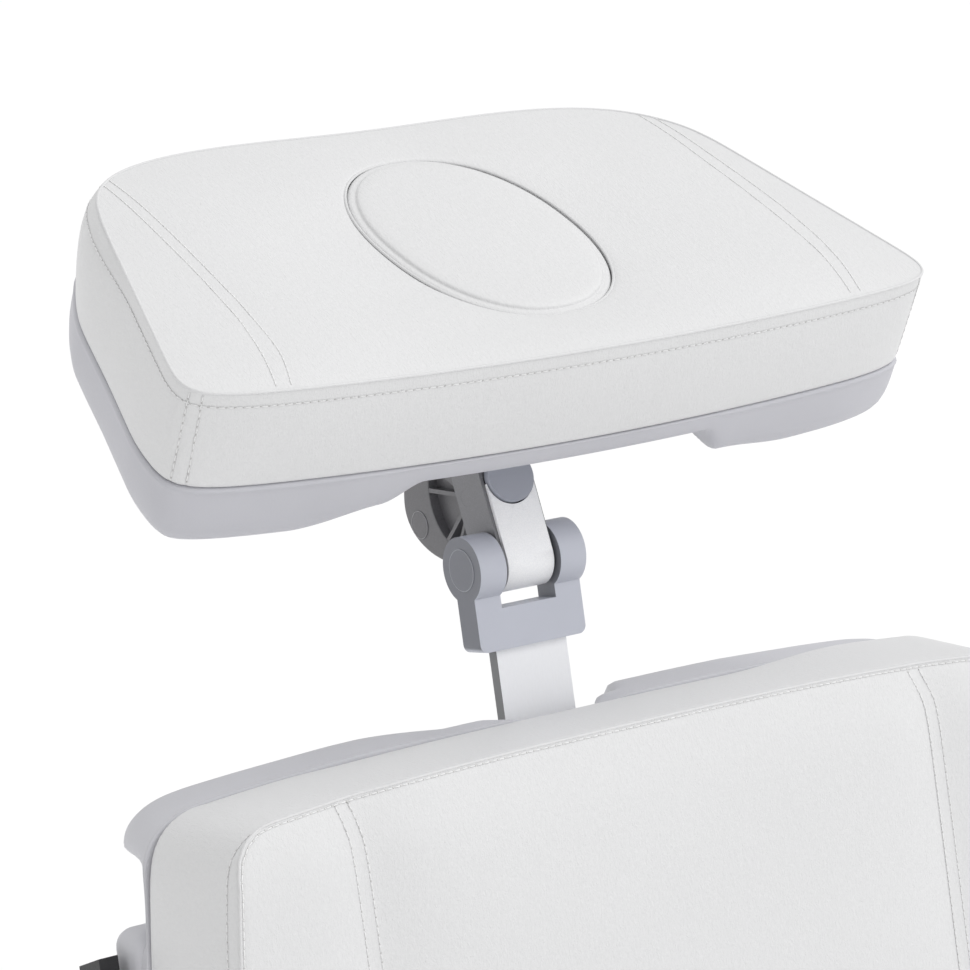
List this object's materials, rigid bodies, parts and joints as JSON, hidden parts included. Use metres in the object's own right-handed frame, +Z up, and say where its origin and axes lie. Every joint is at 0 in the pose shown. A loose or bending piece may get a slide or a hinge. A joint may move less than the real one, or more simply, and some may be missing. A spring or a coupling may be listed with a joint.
{
  "type": "cosmetic treatment chair",
  "caption": "Adjustable treatment chair with lift column, reclining padded back, folding leg rest, flip-up arms and a two-pivot tilting headrest with a plugged oval face hole.",
  "frame": {"origin": "centre of the whole chair's footprint on the floor", "axes": "+X to the right as seen from the front, -Y towards the front where the person's feet point, +Z up"},
  "size_m": [0.852, 1.2596, 1.5439],
  "materials": {
    "upholstery_white": "smooth synthetic leather with a fine grain",
    "shell_plastic": "light grey moulded plastic, fine matte texture",
    "bracket_plastic": "blue-grey moulded plastic",
    "black_plastic": "black moulded plastic",
    "dark_metal": "dark grey metallic paint",
    "silver_metal": "silver metallic paint",
    "bar_aluminium": "satin",
    "steel_frame": "dark grey powder coat",
    "plywood": "birch plywood",
    "rubber_feet": "black rubber"
  },
  "bodies": {
    "base": {"levelling_feet": "rubber_feet", "base_plate": "steel_frame", "base_cover": "shell_plastic", "mains_inlet": "black_plastic", "hand_control_socket": "black_plastic", "control_box": "steel_frame", "lift_column_outer": "silver_metal", "lift_column_collar": "black_plastic", "lift_motor": "black_plastic"},
    "seat": {"lift_column_inner": "silver_metal", "lift_rod": "bar_aluminium", "head_plate": "steel_frame", "seat_rails": "steel_frame", "seat_board": "plywood", "seat_cushion": "upholstery_white", "seat_side_covers": "shell_plastic", "backrest_hinge_shaft": "bar_aluminium", "legrest_hinge_shaft": "bar_aluminium", "armrest_posts": "silver_metal", "backrest_motor": "black_plastic", "legrest_motor": "black_plastic"},
    "backrest_actuator": {"backrest_rod": "bar_aluminium"},
    "legrest_actuator": {"legrest_rod": "bar_aluminium"},
    "backrest": {"backrest_rail_left": "steel_frame", "backrest_rail_right": "steel_frame", "backrest_lever": "steel_frame", "backrest_board": "plywood", "backrest_cushion": "upholstery_white", "backrest_shell": "shell_plastic", "bar_guide": "black_plastic", "roll_holder_brackets": "black_plastic", "roll_holder_rod": "bar_aluminium"},
    "headrest_mast": {"headrest_bar": "bar_aluminium", "bar_bracket": "bracket_plastic", "bracket_screws": "bar_aluminium", "lower_pivot_pin": "bar_aluminium", "pivot_caps": "bracket_plastic"},
    "neck": {"neck_link": "dark_metal", "link_cover": "silver_metal", "upper_pivot_pin": "bar_aluminium"},
    "neck_release": {"release_button": "bracket_plastic"},
    "headrest": {"tilt_hub": "dark_metal", "hub_plugs": "black_plastic", "headrest_shell": "shell_plastic", "headrest_board": "plywood", "headrest_pad": "upholstery_white"},
    "face_hole_plug": {"face_plug": "upholstery_white"},
    "legrest": {"legrest_rail_left": "steel_frame", "legrest_rail_right": "steel_frame", "legrest_lever": "steel_frame", "legrest_cross_bar": "steel_frame", "legrest_board": "plywood", "legrest_cushion": "upholstery_white", "legrest_shell": "shell_plastic"},
    "footrest": {"footrest_frame": "bar_aluminium", "footrest_pad": "upholstery_white"},
    "left_armrest": {"armrest_arm_left": "black_plastic", "armrest_pad_left": "upholstery_white"},
    "right_armrest": {"armrest_arm_right": "black_plastic", "armrest_pad_right": "upholstery_white"}
  },
  "joints": [
    {"name": "seat_lift", "type": "slide", "parent": "base", "child": "seat", "axis": [0, 0, 1], "range_m": [0, 0.26]},
    {"name": "backrest_recline", "type": "hinge", "parent": "seat", "child": "backrest", "pos_m": [0, 0.1915, 0.545], "axis": [1, 0, 0], "range_deg": [-76, 4]},
    {"name": "backrest_rod_slide", "type": "slide", "parent": "seat", "child": "backrest_actuator", "axis": [0, 1, 0], "range_m": [-0.109, 0.007]},
    {"name": "legrest_fold", "type": "hinge", "parent": "seat", "child": "legrest", "pos_m": [0, -0.3505, 0.495], "axis": [1, 0, 0], "range_deg": [-64, 0]},
    {"name": "legrest_rod_slide", "type": "slide", "parent": "seat", "child": "legrest_actuator", "axis": [0, 1, 0], "range_m": [-0.089, 0.001]},
    {"name": "footrest_extend", "type": "slide", "parent": "legrest", "child": "footrest", "axis": [0, -0.4384, -0.8988], "range_m": [0, 0.09]},
    {"name": "headrest_bar_slide", "type": "slide", "parent": "backrest", "child": "headrest_mast", "axis": [0, 0.2334, 0.9724], "range_m": [-0.03, 0.1]},
    {"name": "neck_lower_pivot", "type": "hinge", "parent": "headrest_mast", "child": "neck", "pos_m": [0, 0.44272, 1.30228], "axis": [1, 0, 0], "range_deg": [-30, 30]},
    {"name": "headrest_tilt", "type": "hinge", "parent": "neck", "child": "headrest", "pos_m": [0, 0.46643, 1.3373], "axis": [1, 0, 0], "range_deg": [-28, 56]},
    {"name": "release_press", "type": "slide", "parent": "neck", "child": "neck_release", "axis": [0, 0.8886, -0.4587], "range_m": [0, 0.003], "stiffness_N_per_m": 600, "springref_m": -0.001},
    {"name": "face_plug_lift", "type": "slide", "parent": "headrest", "child": "face_hole_plug", "axis": [0, -0.3502, 0.9367], "range_m": [0, 0.08]},
    {"name": "armrest_flip_left", "type": "hinge", "parent": "seat", "child": "left_armrest", "pos_m": [-0.336, 0.1235, 0.79], "axis": [1, 0, 0], "range_deg": [-100, 0]},
    {"name": "armrest_flip_right", "type": "hinge", "parent": "seat", "child": "right_armrest", "pos_m": [0.336, 0.1235, 0.79], "axis": [1, 0, 0], "range_deg": [-100, 0]}
  ],
  "couplings": [
    {"joint": "backrest_rod_slide", "follows": "backrest_recline", "m_per_rad": 0.0813},
    {"joint": "legrest_rod_slide", "follows": "legrest_fold", "m_per_rad": 0.0783}
  ]
}
